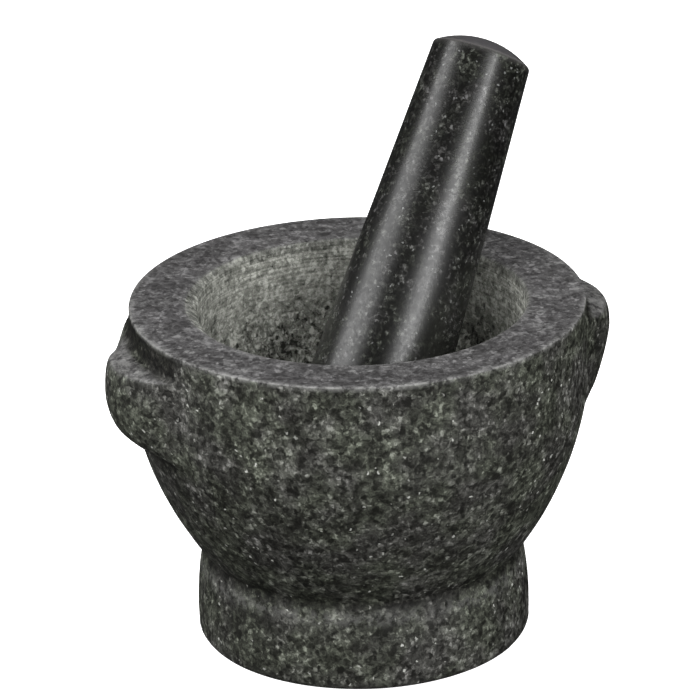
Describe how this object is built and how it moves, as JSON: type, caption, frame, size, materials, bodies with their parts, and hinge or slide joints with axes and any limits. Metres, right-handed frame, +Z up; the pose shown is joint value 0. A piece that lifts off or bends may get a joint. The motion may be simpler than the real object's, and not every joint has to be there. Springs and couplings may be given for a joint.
{
  "type": "granite mortar and pestle",
  "caption": "Heavy turned granite mortar on a solid round foot, flat rim, carved side lugs, and a loose tapered pestle that leans in the bowl.",
  "frame": {"origin": "centre of the underside of the mortar's foot", "axes": "+Z up along the mortar's turning axis; the side lugs lie on +X and -X; the pestle leans toward +X and +Y"},
  "size_m": [0.2054, 0.1804, 0.2256],
  "materials": {
    "honed_granite": "matte",
    "polished_granite": "polished"
  },
  "bodies": {
    "mortar": {"mortar": "honed_granite"},
    "pestle": {"pestle": "polished_granite"}
  },
  "joints": [
    {"name": "pestle_lift", "type": "slide", "parent": "mortar", "child": "pestle", "axis": [0, 0, 1], "range_m": [0, 0.11]}
  ]
}
